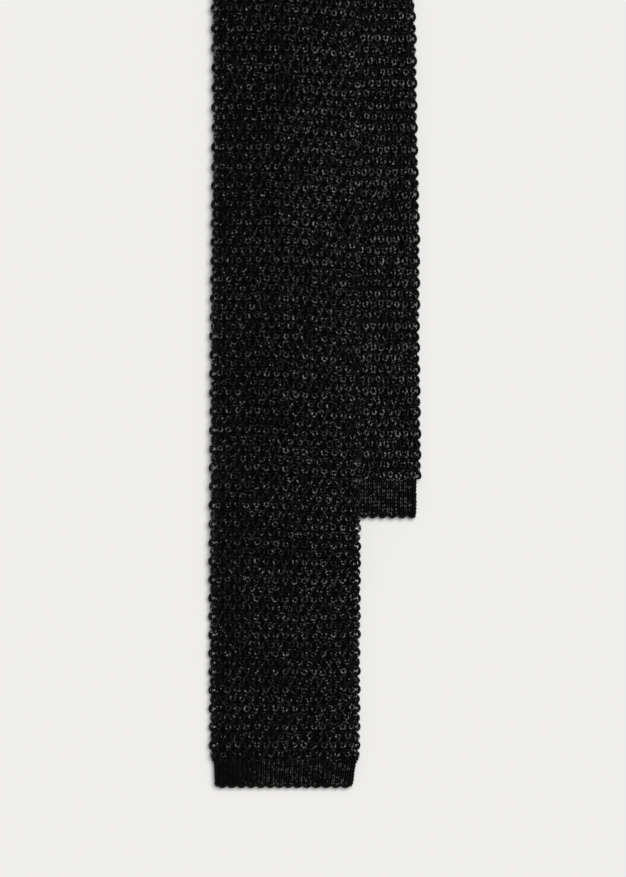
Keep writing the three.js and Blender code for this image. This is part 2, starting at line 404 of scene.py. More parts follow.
def rows_between(s0, s1, pitch):
    """Row places from s0 to s1, as evenly spread as the pitch allows."""
    out, s = [], s0
    while s <= s1:
        out.append(s)
        s += float(pitch(s))
    return np.array(out)


def bumps(tube, rows, parity, way, fine_side, fine_from=-1e9):
    """All bumps of a tube: column, path length, row pitch, whether it is on the side that shows."""
    n = tube.columns
    c0 = n / 4
    C, S, Q, F, A = [], [], [], [], []
    gap = np.gradient(rows)
    for j, s in enumerate(rows):
        c = c0 + np.arange(n) + 0.5 * ((j + parity) % 2)
        c = (c + n / 2) % n - n / 2
        C.append(c)
        S.append(np.full(n, s))
        Q.append(np.full(n, abs(gap[j])))
        inside = np.abs(c) <= n / 4 + 0.6
        F.append(inside if fine_side == "face" else (np.abs(c) >= n / 4 - 0.6) & (c > fine_from))
        A.append(np.full(n, (j + parity) % 2))
    C, S, Q, F, A = map(np.concatenate, (C, S, Q, F, A))
    m = len(C)
    look = {
        "c": C + rng.normal(0, 0.040, m),
        "s": S + rng.normal(0, 0.17, m),
        "row": Q,
        "shows": F,
        "turn": rng.normal(0, 0.17, m),
        "grow": (1 - 0.05 * A) * (1 + rng.normal(0, 0.06, m)),
        "hs": (1 - 0.12 * A) * (1 + rng.normal(0, 0.09, m)),
        "dh": rng.normal(0, 0.08, m),
        "tone": np.where(
            A == 0,
            rng.choice(5, m, p=[0.18, 0.36, 0.04, 0.32, 0.10]),
            rng.choice(5, m, p=[0.30, 0.16, 0.30, 0.04, 0.20]),
        ),
        # painted highlights: the share of glinting facets, fewer on every second row, which lies lower, and more
        # towards the right and towards the neck, painting them lighter
        "painted_glint_share": np.clip(
            (0.20 + 0.34 * rng.random(m)) * (1 - 0.30 * A) * (1 + 0.36 * np.clip(C / 8, -1, 1))
            * (1 + 0.34 * np.clip((S + 380) / 380, 0, 1)), 0, 1
        ),
        "extra": rng.random(m),
        "edge": np.abs(np.abs(C) - n / 4) < 0.3,
        "odd": A,
        "s0": S,
    }
    # the lips of the seam lie lower, under the slip stitches
    lip = np.abs(np.abs(C) - n / 2) < 0.7
    look["hs"] = np.where(lip, look["hs"] * 0.62, look["hs"])
    rim = np.abs(np.abs(C) - n / 4)
    look["c"] = look["c"] - np.sign(C) * np.sign(n / 4 - np.abs(C)) * 0.07 * ((rim > 0.8) & (rim < 1.2))
    look["way"], look["hem"] = way, (rows.min() if way > 0 else rows.max()) - way * 1.0
    return look


def edge_loops(heap, tube, b, inside, fine):
    """The scalloped edges: a loop for each row, larger where a column turns over, and slack yarn inside."""
    n, ce = tube.columns, tube.columns / 4
    for side in (-1, 1):
        for odd in (0, 1):
            rows = np.unique(b["s0"][inside & (b["odd"] == odd)])
            if not len(rows):
                continue
            pitch = float(np.median(b["row"]))
            at_edge = np.abs((side * ce - (ce + 0.5 * odd) + n) % 1.0) < 0.25 or np.abs((side * ce - (ce + 0.5 * odd) + n) % 1.0) > 0.75
            m = len(rows)
            jit = rng.normal(0, 0.10, m)[:, None]
            k = 15 if fine else 8
            t = np.linspace(-1, 1, k)[None]
            H = tube.half(rows)[:, None]
            drop = 0.0 if tube.wave is None else tube.wave(np.full((m, 1), float(side)), rows[:, None])
            more = 0.50 if tube is front and side < 0 else 0.0
            out = (0.26 if at_edge else 0.98) + jit * 0.6 - more
            reach = 1.80 if at_edge else 1.25
            deep = (0.46 if at_edge else 0.66) + 0.95 * more
            coils = (
                (2.42, 0.42, 0.0), (1.58, 0.42, 0.0), (2.02, 0.50, -0.08),
                (2.70, 0.40, deep), (1.30, 0.40, deep), (2.02, 0.50, deep - 0.06),
            )
            if more:
                coils += ((2.62, 0.44, deep / 2), (1.40, 0.44, deep / 2))
            for w, r, back_by in coils:
                u = side * (H - out - (reach - back_by) * np.abs(t) ** 2.4 - 0.42 - back_by)
                s = rows[:, None] + t * pitch * (0.56 if at_edge else 0.50) + 0.1 * jit
                past = np.maximum(b["way"] * (b["hem"] - s), 0)
                s = s + 0.85 * b["way"] * past + drop
                ww = w + (2.0 - w) * 0.5 * np.abs(t) ** 3 + 0 * jit
                P = place(s, u, ww, tube.centre)
                N = np.zeros_like(P)
                N[..., 0], N[..., 2] = side * 0.6, (w - 2.0) + 0.4
                N /= np.linalg.norm(N, axis=2, keepdims=True)
                # painted highlights on the edge loops: a random share of their outward facets in glint colours
                heap.strands(
                    P, N, r, 8 if fine else 5, np.where(rng.random(m) < 0.8, EDGE, 0),
                    1.7 if fine else 0.0, rng.random(m) * (0.14 if back_by <= 0 else 0.26),
                )
            if at_edge:
                continue
            # slack yarn, which leaves a pinhole only beside the rows whose column turns over
            t = np.linspace(-1, 1, 11)[None]
            for across, low, r, long in ((2.10, 1.80, 0.50, 0.88), (2.10, 2.20, 0.50, 0.88), (2.85, 1.9, 0.50, 0.88), (3.85, 1.9, 0.62, 1.02)):
                s = rows[:, None] + drop + t * long * pitch
                u = side * (H - across + 0.12 * np.sin(s * 2.1 + across))
                P = place(s, u, np.full_like(u, low), tube.centre)
                N = np.zeros_like(P)
                N[..., 2] = 1
                heap.strands(P, N, r * (1 - 0.25 * np.abs(t) ** 5), 6, EDGE)


def knit(name, tube, b, s0, s1, fine=True):
    """The mesh of all bumps whose row lies from s0 to s1."""
    heap = Heap()
    inside = (b["s0"] >= min(s0, s1)) & (b["s0"] < max(s0, s1))
    for shows in (True, False):
        at = inside & (b["shows"] == shows)
        if not at.any():
            continue
        high = shows and fine
        g = {k: v[at] for k, v in b.items() if k not in ("way", "hem")}
        common = (g["hs"], g["dh"], g["turn"], g["grow"], g["row"])

        def put(template, k, radius, sides, twist, tone, painted_glint_share, sel):
            lay(
                heap, tube, template, k, g["c"][sel], g["s"][sel], b["way"], radius, sides,
                (g["tone"] if tone is None else tone)[sel], twist, (painted_glint_share * g["painted_glint_share"])[sel],
                *[x[sel] for x in common],
            )

        # painted shade: the strands that lie deep between the rows get the darkest yarn colour
        painted_shade_tone = np.full(len(g["c"]), 2)
        web = np.where(g["extra"] < 0.5, 0, 4)
        body = ~g["edge"]
        rim = np.abs(np.abs(g["c"]) - tube.columns / 4)
        legs, beside = rim > 0.8, (rim > 0.8) & (rim < 1.2)
        hugs = body & ~beside
        # painted highlights on the strands between the rows: fewer on the back blade, none next to the hem
        gap = (0.34 if tube is front else 0.16) * (np.abs(g["s0"] - b["hem"]) > 4)
        if high:
            put(ring, 19, 0.44, 8, 1.7, None, 0.66, body)
            put(hug, 17, 0.27, 8, 1.5, (g["tone"] + 1) % 5, 0.42, hugs)
            put(foot, 9, 0.22, 6, 1.5, web, gap, body)
            put(foot_2, 7, 0.19, 6, 1.5, painted_shade_tone, gap, body)
            put(ladder, 12, 0.20, 6, 1.3, web, gap, hugs)
            put(leg_l, 7, 0.22, 6, 1.5, web, gap, legs)
            put(leg_r, 7, 0.22, 6, 1.5, web, gap, legs)
        else:
            put(ring, 9, 0.44, 5, 0.0, None, 0.28, body)
            put(hug, 9, 0.28, 5, 0.0, (g["tone"] + 1) % 5, 0.14, hugs)
            put(foot, 5, 0.26, 5, 0.0, painted_shade_tone, 0.0, body)
            put(leg_l, 3, 0.25, 4, 0.0, painted_shade_tone, 0.0, legs)
            put(leg_r, 3, 0.25, 4, 0.0, painted_shade_tone, 0.0, legs)
    edge_loops(heap, tube, b, inside, fine)
    return heap.mesh(name, YARN)


# ------------------------------------------------------------------ the tubes
# how far the rows of the front blade sag, in mm: across, then along the blade from the top down
SAG_ACROSS = np.array([-0.83, -0.33, -0.08, 0.17, 0.42, 0.67, 0.79])
SAG_ALONG = np.array([20, -40, -76, -98, -119, -140, -161, -182, -203, -225, -246, -267, -288, -309, -330, -352, -384])
SAG = 0.4233 * np.array(
    [
        [0, 0, 0, 0, 0, 0, 0],
        [0, 0.6, 0.6, 1.8, 3.2, 4.6, 5.2],
        [0, 0.9, 0.9, 2.3, 4.5, 6.7, 7.7],
        [0, 0.5, 1.6, 3.4, 4.9, 6.9, 7.8],
        [0, 0.1, 1.9, 4.5, 6.1, 7.8, 8.4],
        [0, -0.9, 0.9, 3.0, 4.2, 5.6, 6.6],
        [0, -1.1, -0.6, 0.0, 1.9, 3.7, 4.6],
        [0, -1.2, -0.5, 0.7, 2.6, 4.8, 5.3],
        [0, -0.8, 0.3, 1.3, 3.2, 5.4, 6.1],
        [0, -0.1, 1.0, 2.8, 3.5, 5.7, 6.6],
        [0, 0.1, 1.7, 3.2, 3.8, 5.0, 5.8],
        [0, 0.2, 1.3, 3.2, 3.9, 4.9, 5.4],
        [0, -0.4, 0.6, 2.4, 3.4, 3.7, 4.0],
        [0, 0.4, 1.4, 1.8, 1.7, 1.4, 0.8],
        [0, 0.6, 1.4, 1.7, 1.4, 0.2, -0.6],
        [0, -0.3, 0.6, 1.1, 0.8, -0.4, -0.8],
        [0, 0, 0, 0, 0, 0, 0],
    ]
)


def front_wave(un, s):
    """Rows of the front blade sag towards the right, more near the neck."""
    down = -SAG_ALONG.astype(float)
    i = np.clip(np.searchsorted(down, -s) - 1, 0, len(down) - 2)
    t = smooth((-s - down[i]) / (down[i + 1] - down[i]))
    j = np.clip(np.searchsorted(SAG_ACROSS, un) - 1, 0, len(SAG_ACROSS) - 2)
    v = np.clip((un - SAG_ACROSS[j]) / (SAG_ACROSS[j + 1] - SAG_ACROSS[j]), 0, 1)
    top = mix(SAG[i, j], SAG[i, j + 1], v)
    low = mix(SAG[i + 1, j], SAG[i + 1, j + 1], v)
    return -mix(top, low, t)


# every second row of the front blade, from the hem upwards: the rows that reach the edge
EDGE_ROWS = np.concatenate(
    [
        -378.6 + np.arange(12) * 7.81,
        -292.7 + 7.97 * (1 + np.arange(20)),
        -133.3 + 8.40 * (1 + np.arange(23)),
    ]
)


# the knit bulges past its even outline by these amounts, left and right, in mm
AT = np.array([-385, -345, -300, -250, -205, -165, -120, -80, -55, 20, 60])
LEFT = np.array([-0.55, -0.75, -0.80, -0.37, -0.33, 0.10, 0.65, 0.45, 0.30, 0.0, 0.0])
RIGHT = np.array([0.15, 0.30, 0.45, 0.50, 0.45, 0.40, 0.35, 0.30, 0.25, 0.0, 0.0])
AT_B = np.array([-270, -250, -205, -165, -120, -80, -40])
BULGE = np.array([0.61, 0.66, 0.60, 0.92, 0.69, 0.70, 0.15])


def front_bulge(s):
    return (np.interp(s, AT, RIGHT) - np.interp(s, AT, LEFT)) / 2


def front_sway(s):
    return (np.interp(s, AT, RIGHT) + np.interp(s, AT, LEFT)) / 2


def back_bulge(s):
    return np.interp(Y_FOLD - (s - S_BACK), AT_B, BULGE)


front = BumpTube(
    32,
    half=lambda s: half_at(s) + front_bulge(s),
    centre=lambda y: front_centre(y) + front_sway(y),
    wave=front_wave,
)
neck = BumpTube(21)
back = BumpTube(
    31,
    half=lambda s: half_at(s) + back_bulge(s),
    centre=lambda y: back_centre(y) + np.interp(y, AT_B, BULGE),
)

front_rows = np.interp(np.arange(-1, 2 * len(EDGE_ROWS) - 1) / 2, np.arange(len(EDGE_ROWS)), EDGE_ROWS)
front_rows[0] = -382.5
front_rows = front_rows[front_rows < Y_FRONT_JOIN - 2.0]
neck_rows = rows_between(Y_FRONT_JOIN + 2.0, back_s(Y_BACK_JOIN) - 2.4, lambda s: 4.2)
back_rows = back_s(-264.2 + np.concatenate([np.arange(5) * 4.42, 17.68 + 4.57 * (1 + np.arange(16)), 90.8 + 4.72 * (1 + np.arange(27))]))
back_rows = back_rows[back_rows > back_s(Y_BACK_JOIN) + 2.4]

front_bumps = bumps(front, front_rows, 1, 1, "face")
neck_bumps = bumps(neck, neck_rows, 0, 1, "face")
# inside the fold there is no room for bumps
middle = (372 + back_s(372)) / 2
crowded = (np.abs(neck_bumps["s0"] - middle) < 5.6) & (np.abs(neck_bumps["c"]) > neck.columns / 4 + 0.3)
neck_bumps = {k: v if k in ("way", "hem") else v[~crowded] for k, v in neck_bumps.items()}
back_bumps = bumps(back, back_rows, 0, -1, "seam", fine_from=0)


def on(ob, body=None, stands_for=()):
    """Fastens a piece on one body, or, for a piece that lies between two bodies, leaves it on none with its place baked
    in.
    """
    if stands_for:
        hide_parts(*stands_for)
    if body:
        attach(ob, body)
    else:
        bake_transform(ob)
    return ob


# name, tube, bumps, from, to, body or None, joint or None, fine
LENGTHS = [
    ("knit_front_01", front, front_bumps, -400, -362, "front_tip", None, True),
    ("knit_front_02", front, front_bumps, -362, -329, None, "tip", True),
    ("knit_front_03", front, front_bumps, -329, -296, None, "tip", True),
    ("knit_front_04", front, front_bumps, -296, -260, "front_middle", None, True),
    ("knit_front_05", front, front_bumps, -260, -225, "front_middle", None, True),
    ("knit_front_06", front, front_bumps, -225, -196, "front_middle", None, True),
    ("knit_front_07", front, front_bumps, -196, -168, "front_middle", None, True),
    ("knit_front_08", front, front_bumps, -168, -133, None, "front", True),
    ("knit_front_09", front, front_bumps, -133, -98, None, "front", True),
    ("knit_front_10", front, front_bumps, -98, -60, "front_upper", None, True),
    ("knit_front_11", front, front_bumps, -60, -20, "front_upper", None, False),
    ("knit_front_12", front, front_bumps, -20, 60, "front_upper", None, False),
    ("knit_neck_1", neck, neck_bumps, 60, 165, "front_upper", None, False),
    ("knit_neck_2", neck, neck_bumps, 165, 270, "front_upper", None, False),
    ("knit_neck_3", neck, neck_bumps, 270, 372, "front_upper", None, False),
    ("knit_neck_4", neck, neck_bumps, 372, (372 + back_s(372)) / 2, "front_upper", None, False),
    ("knit_neck_fold", neck, neck_bumps, (372 + back_s(372)) / 2, back_s(372), "back_neck", None, False),
    ("knit_neck_5", neck, neck_bumps, back_s(372), back_s(245), "back_neck", None, False),
    ("knit_neck_6", neck, neck_bumps, back_s(245), back_s(118), "back_neck", None, False),
    ("knit_neck_7", neck, neck_bumps, back_s(118), back_s(8), None, "swing", False),
    ("knit_neck_8", neck, neck_bumps, back_s(8), back_s(-40), "back_blade", None, False),
    ("knit_back_1", back, back_bumps, back_s(-38), back_s(-100), "back_blade", None, True),
    ("knit_back_2", back, back_bumps, back_s(-100), back_s(-160), "back_blade", None, True),
    ("knit_back_3", back, back_bumps, back_s(-160), back_s(-215), "back_blade", None, True),
    ("knit_back_4", back, back_bumps, back_s(-215), back_s(-268), "back_blade", None, True),
]
for name, tube, b, s0, s1, body, joint, fine in LENGTHS:
    on(knit(name, tube, b, s0, s1, fine), body)


# ------------------------------------------------------------------ the thin ground fabric inside, one per panel length
def wall_section(half, thick, wall, slit=0.6):
    """A flattened C, open at the seam, as (across, height above the middle)."""
    r = thick / 2
    e = half - r
    pts = [(slit, -r), (e * 0.5, -r), (e, -r)]
    pts += [(e + r * math.cos(a), r * math.sin(a)) for a in (-math.pi / 4, 0, math.pi / 4)]
    pts += [(e, r), (e * 0.5, r), (0, r), (-e * 0.5, r), (-e, r)]
    pts += [(-e - r * math.cos(a), r * math.sin(a)) for a in (math.pi / 4, 0, -math.pi / 4)]
    pts += [(-e, -r), (-e * 0.5, -r), (-slit, -r)]
    q = r - wall
    pts += [(-slit, -q), (-e * 0.5, -q), (-e, -q), (-e - q, 0), (-e, q), (-e * 0.5, q), (0, q)]
    pts += [(e * 0.5, q), (e, q), (e + q, 0), (e, -q), (e * 0.5, -q), (slit, -q)]
    return np.array(pts)


def ground(name, s0, s1, half, thick, wall, material, step=4.0, centre=None, inset=3.0):
    n = max(2, int(abs(s1 - s0) / step) + 1)
    S = np.linspace(s0, s1, n)
    heap = Heap()
    rings = []
    for s in S:
        sec = wall_section(float(half(s)) - inset, thick, wall)
        rings.append(place(np.full(len(sec), s), sec[:, 0], THICK / 2 + sec[:, 1], centre))
    m = len(rings[0])
    V = np.vstack(rings)
    i = np.arange(m)
    j = (i + 1) % m
    quads = np.concatenate(
        [np.stack([k * m + i, k * m + j, (k + 1) * m + j, (k + 1) * m + i], -1) for k in range(n - 1)]
    )
    heap.faces(V, quads, 0)
    heap.f.append((np.arange(m)[::-1][None], np.zeros(1, int)))
    heap.f.append((np.arange((n - 1) * m, n * m)[None], np.zeros(1, int)))
    ob = heap.mesh(name, [material], smooth_shading=False)
    # turn it outwards
    me = ob.data
    me.calc_loop_triangles()
    co = V * MM
    tri = np.array([t.vertices[:] for t in me.loop_triangles])
    a, b_, c_ = co[tri[:, 0]], co[tri[:, 1]], co[tri[:, 2]]
    if float(np.einsum("ij,ij->i", a, np.cross(b_, c_)).sum()) < 0:
        me.flip_normals()
    return ob


def ground_sheet(name, s0, s1, body=None, stands_for=()):
    ob = ground(name, s0, s1, half_at, 0.84, 0.3, GROUND)
    mid = float(half_at(np.array((s0 + s1) / 2)))
    on(ob, body, stands_for)
    return ob


B = back_s
ground_sheet("ground_front_tip", Y_HEM_FRONT + 0.3, -296, None, ["front_blade_tip"])
ground_sheet("ground_front_middle", -295.9, -168, "front_middle", ["front_blade_middle"])
ground_sheet("ground_front_bend", -167.9, -98, None, [])
ground_sheet("ground_front_upper", -97.9, 60.2, "front_upper", ["front_blade_upper"])
ground_sheet("ground_neck_front", 59.8, 372, "front_upper", ["neck_band_front"])
ground_sheet("ground_neck_fold", 372.1, B(372.1), None, ["neck_fold_knit"])
ground_sheet("ground_neck_back", B(372), B(118), "back_neck", ["neck_band_back"])
ground_sheet("ground_neck_swing", B(117.9), B(8), None, ["back_blade_upper"])
ground_sheet("ground_neck_end", B(7.9), B(-40.2), "back_blade", [])
ground_sheet("ground_back", B(-39.8), B(Y_HEM_BACK) - 0.3, "back_blade", ["back_blade_lower"])

# ------------------------------------------------------------------ hem bands: fine plain knit with a scalloped edge
leg = [(-0.14, -0.80, -0.30), (-0.22, -0.42, 0.18), (-0.40, 0.10, 0.46), (-0.58, 0.52, 0.20), (-0.68, 0.84, -0.30)]


def hem(name, tube, s_top, s_tip, course, way, painted_glint_share, lit_from, body, node, facing_node):
    """way is 1 where the path runs away from the tip, as on the front blade."""
    heap = Heap()
    n = tube.columns
    length = abs(s_top - s_tip)
    k = int(round((length - 0.5) / course))
    rows = s_tip + way * (0.75 + (np.arange(k) + 0.5) * (length - 0.9) / k)
    c = np.arange(n) - n / 2 + 0.5
    C, S = np.meshgrid(c, rows)
    C, S = C.ravel(), S.ravel()
    m = len(C)
    pitch = tube.pitch(S)
    tone = rng.choice(3, m, p=[0.45, 0.25, 0.3])
    C = C + rng.normal(0, 0.025, m)
    S = S + rng.normal(0, 0.05, m)
    for side in (1, -1):
        t = spline(leg, 7)
        x = -side * t[:, 0] * (1 + rng.normal(0, 0.05, m))[:, None]
        y = t[:, 1] * (course / 1.2) * (1 + rng.normal(0, 0.04, m))[:, None]
        h = t[:, 2] * (1 + rng.normal(0, 0.08, m))[:, None]
        CC = C[:, None] + x / 2.0
        SS = S[:, None] + way * y
        P = tube(CC, SS, h)
        N = tube(CC, SS, h + 0.3) - P
        N /= np.linalg.norm(N, axis=2, keepdims=True)
        # painted highlights: the glint share rises from the left of the front hem, falls away at the side edges, sits
        # mostly at the top of each leg and is weaker on one leg of each stitch
        shine = painted_glint_share * smooth(lit_from[0] + C / lit_from[1]) * (0.55 + 0.45 * np.sin(S * 0.9 + C * 0.9))
        shine = shine * smooth((way * (n / 4 - np.abs(C)) - 0.6) / 1.6)
        heap.strands(
            P, N, 0.235 * (pitch / 2.0)[:, None] ** 0.5 * np.ones(7), 6, tone, 0.0,
            (shine * (1.0 if side > 0 else 0.45))[:, None] * np.array([0, 0.1, 1, 0.8, 0, 0]),
        )
    # the turned edge: cords that run along the scallops, and small loops over them
    e = float(tube.half(np.array(s_tip))) - 0.8
    uu = np.linspace(-e, e, int(e * 2 / 0.4))
    for w, r, push in ((2.72, 0.36, 0.10), (2.35, 0.40, -0.12), (1.65, 0.40, -0.12), (1.28, 0.36, 0.10), (2.3, 0.40, 0.55), (1.7, 0.40, 0.55)):
        s = s_tip + way * (0.42 + push) + tube.tip(uu, np.full_like(uu, s_tip)) * 1.0
        P = place(s, uu, np.full_like(uu, w), tube.centre)[None]
        N = np.zeros_like(P)
        N[..., 2] = 1
        heap.strands(P, N, r, 7, 3)
    v = np.arange(-e + 0.5, e - 0.4, 0.66)
    a = np.linspace(-0.15, math.pi + 0.15, 9)
    W = THICK / 2 + 0.98 * np.cos(a)[None] * np.ones((len(v), 1))
    out = 0.50 * np.sin(a)[None]
    U = v[:, None] + (a[None] - math.pi / 2) * 0.10 + rng.normal(0, 0.05, len(v))[:, None]
    s = s_tip + way * (0.75 - out * 1.35) + tube.tip(U, np.full_like(U, s_tip))
    P = place(s, U, W, tube.centre)
    N = P - P.mean(axis=1, keepdims=True)
    N /= np.linalg.norm(N, axis=2, keepdims=True) + 1e-9
    heap.strands(P, N, 0.27, 6, np.where(rng.random(len(v)) < 0.55, 3, rng.choice(3, len(v))))
    ob = heap.mesh(name, HEMS)
    on(ob, body)
    core = ground(name + "_ground", s_tip + way * 0.6, s_top - way * 0.2, tube.half, 1.5, 0.35, GROUND, 1.5, tube.centre, 0.7)
    on(core, body, [node])
    w = float(np.mean(4 * (tube.half(np.linspace(s_tip, s_top, 9)) - 0.7)))
    # the facing turned up inside: a ribbed strip
    f = Heap()
    nx, ny = 160, 12
    half = float(tube.half(np.array(s_tip))) - 5.0
    X, Y = np.meshgrid(np.linspace(-half, half, nx), np.linspace(0, 1, ny))
    SY = s_tip + way * 1.0 + (s_top - way * 0.3 - s_tip - way * 1.0) * Y
    rib = 0.07 * np.cos(X * TAU / 2.0) * np.abs(np.cos(SY * math.pi / course)) ** 0.5
    top = place(SY, X, THICK / 2 + 0.2 + rib, tube.centre)
    low = place(SY, X, THICK / 2 - 0.2 - rib, tube.centre)
    slab(f, top, low)
    ob2 = f.mesh(name + "_facing", HEMS)
    outward(ob2)
    on(ob2, body, [facing_node])
    return ob


def slab(heap, top, low):
    """A closed strip from two matching grids of points."""
    ny, nx, _ = top.shape
    V = np.vstack([top.reshape(-1, 3), low.reshape(-1, 3)])
    idx = np.arange(nx * ny).reshape(ny, nx)
    o = nx * ny
    q = np.stack([idx[:-1, :-1], idx[:-1, 1:], idx[1:, 1:], idx[1:, :-1]], -1).reshape(-1, 4)
    faces = [q, q[:, ::-1] + o]
    for line, flip in ((idx[0], 1), (idx[-1], 0), (idx[:, 0], 0), (idx[:, -1], 1)):
        a, b = line[:-1], line[1:]
        side = np.stack([a, b, b + o, a + o], -1)
        faces.append(side[:, ::-1] if flip else side)
    heap.faces(V, np.concatenate(faces), 0)


def outward(ob):
    me = ob.data
    me.calc_loop_triangles()
    n = len(me.loop_triangles)
    tri = np.empty(n * 3, np.int32)
    me.loop_triangles.foreach_get("vertices", tri)
    co = np.empty(len(me.vertices) * 3, np.float32)
    me.vertices.foreach_get("co", co)
    co = co.reshape(-1, 3).astype(float)
    co -= co.mean(0)
    a, b, c = (co[tri.reshape(-1, 3)[:, i]] for i in range(3))
    if float(np.einsum("ij,ij->i", a, np.cross(b, c)).sum()) < 0:
        me.flip_normals()


def scallops(s_tip, way, pitch, depth, shift, phase=0.0):
    """A wavy edge: depth deep, and moved along by shift, which is past the tip if negative."""

    def tip(u, s):
        near = smooth(1 - way * (s - s_tip) / 4.0)
        wave = 1 - np.abs(np.sin(math.pi * (u / pitch + phase + 0.06 * np.sin(u / 5.3))))
        return way * (depth * wave + shift) * near

    return tip


front_hem = Tube(
    60, 1.4, 0.75,
    half=lambda s: mix(29.55, 30.65, np.clip((s - Y_TIP_FRONT) / 11.4, 0, 1)),
    centre=lambda y: mix(-13.20, -12.70, np.clip((y - Y_TIP_FRONT) / 11.4, 0, 1)),
    tip=scallops(Y_TIP_FRONT, 1, 3.98, 1.00, -0.68),
)
back_hem = Tube(
    52, 1.4, 0.75,
    half=lambda s: np.full_like(np.asarray(s, float), 24.5),
    centre=lambda y: np.full_like(np.asarray(y, float), 18.85),
    tip=scallops(B(Y_TIP_BACK), -1, 4.02, 1.35, -0.60),
)
hem("hem_front", front_hem, Y_HEM_FRONT, Y_TIP_FRONT, 1.19, 1, 0.80, (1.6, 6.5), "front_tip", "front_hem_band", "front_hem_facing")
hem("hem_back", back_hem, B(Y_HEM_BACK), B(Y_TIP_BACK), 1.65, -1, 1.35, (1.0, 1e6), "back_blade", "back_hem_band", "back_hem_facing")


# ------------------------------------------------------------------ linking rows, seam and bar tacks
def linking(name, tube_a, s, body, node):
    heap = Heap()
    n = tube_a.columns
    c = np.linspace(-n / 2, n / 2, n * 12)
    for ph, r in ((0.0, 0.30), (math.pi, 0.30)):
        ss = s + 0.55 * np.sin(c * TAU + ph)
        h = 0.38 + 0.22 * np.cos(c * TAU + ph)
        P = tube_a(c, ss, h)[None]
        N = tube_a(c, ss, h + 0.3)[None] - P
        N /= np.linalg.norm(N, axis=2, keepdims=True)
        heap.strands(P, N, r, 6, 0)
    return on(heap.mesh(name, [THREAD]), body, [node])


linking("linking_front", front, Y_FRONT_JOIN - 0.2, "front_upper", "front_join_thread")
linking("linking_back", back, B(Y_BACK_JOIN) + 0.2, "back_blade", "back_join_thread")


def seam(name, tube, s0, s1, stands_for, body=None):
    """Slip stitches over the two lips of the seam."""
    heap = Heap()
    n = tube.columns
    lo_, hi_ = min(s0, s1), max(s0, s1)
    s = np.arange(lo_, hi_, 0.3)
    mid = n / 2 + (0.35 if tube is back else 0.0)
    for side in (-1, 1):
        c = mid + side * 0.17 + 0.02 * np.sin(s * 1.9)
        h = 0.42 + 0.12 * np.sin(s * TAU / 3.9 + side)
        P = tube(c, s, h)[None]
        N = tube(c, s, h + 0.3)[None] - P
        N /= np.linalg.norm(N, axis=2, keepdims=True)
        heap.strands(P, N, 0.32, 6, 0)
    count = int((hi_ - lo_ - 2) / 3.0)
    at = lo_ + 1 + 3.0 * (np.arange(count) + 0.5)
    t = np.linspace(0, 1, 9)
    c = mid + (t[None] - 0.5) * 0.70 * (1 + rng.normal(0, 0.06, count))[:, None]
    ss = at[:, None] + (t[None] - 0.5) * 1.7
    h = 0.18 + 0.62 * np.sin(t * math.pi)[None] ** 0.6 * np.ones((count, 1))
    P = tube(c, ss, h)
    N = tube(c, ss, h + 0.3) - P
    N /= np.linalg.norm(N, axis=2, keepdims=True)
    heap.strands(P, N, 0.17, 6, 1)
    return on(heap.mesh(name, [YARN[0], THREAD]), body, stands_for)


seam("seam_front_tip", front, -372, -354, ["front_seam_thread_tip"], "front_tip")
seam("seam_front_tip_bend", front, -354, -300, [], None)
seam("seam_front_middle", front, -300, -162, ["front_seam_thread_middle"], "front_middle")
seam("seam_front_bend", front, -162, -104, [], None)
seam("seam_front_upper", front, -104, 59, ["front_seam_thread_upper"], "front_upper")
seam("seam_neck_front", neck, 61, 372, ["neck_seam_thread_front"], "front_upper")
seam("seam_neck_fold", neck, 372, B(372), ["neck_fold_seam_thread"], None)
seam("seam_neck_back", neck, B(372), B(115), ["neck_seam_thread_back"], "back_neck")
seam("seam_back_swing", neck, B(115), B(11), ["back_seam_thread_upper"], None)
seam("seam_back_end", neck, B(11), B(-39), [], "back_blade")
seam("seam_back_lower", back, B(-41), B(-251), ["back_seam_thread_lower"], "back_blade")


def bar_tack(name, tube, s0, s1, body, node):
    heap = Heap()
    lo_, hi_ = min(s0, s1), max(s0, s1)
    at = np.arange(lo_ + 1.5, hi_ - 1, 0.42)
    t = np.linspace(-1, 1, 9)
    c = tube.columns / 2 + (0.35 if tube is back else 0.0) + t[None] * 0.50 + rng.normal(0, 0.01, len(at))[:, None]
    ss = at[:, None] + 0.08 * t[None]
    h = 0.15 + 0.62 * (1 - np.abs(t[None]) ** 3) * np.ones((len(at), 1))
    P = tube(c, ss, h)
    N = tube(c, ss, h + 0.3) - P
    N /= np.linalg.norm(N, axis=2, keepdims=True)
    heap.strands(P, N, 0.2, 6, 0)
    return on(heap.mesh(name, [THREAD]), body, [node])


bar_tack("tack_front", front, -371, -381, "front_tip", "front_bar_tack")
bar_tack("tack_back", back, B(-251), B(-261), "back_blade", "back_bar_tack")


# ------------------------------------------------------------------ blank labels under the front blade
def label(name, x0, x1, y0, y1, material, node, rib):
    nx, ny = int((x1 - x0) / 0.35), int((y1 - y0) / 0.5)
    X, Y = np.meshgrid(np.linspace(x0, x1, nx), np.linspace(y0, y1, ny))
    z = under(X, (y0 + y1) / 2)
    weave = 0.03 * np.cos(X * TAU / rib) * np.cos(Y * TAU / 1.4)
    edge = 0.05 * smooth(1 - np.minimum(Y - y0, y1 - Y) / 0.9)
    top = np.stack([X, Y, z - 0.27 + 0 * weave], -1)
    low = np.stack([X, Y, z - 0.56 + weave - edge], -1)
    heap = Heap()
    slab(heap, top, low)
    ob = heap.mesh(name, [material])
    outward(ob)
    on(ob, "front_middle", [node])
    return ob


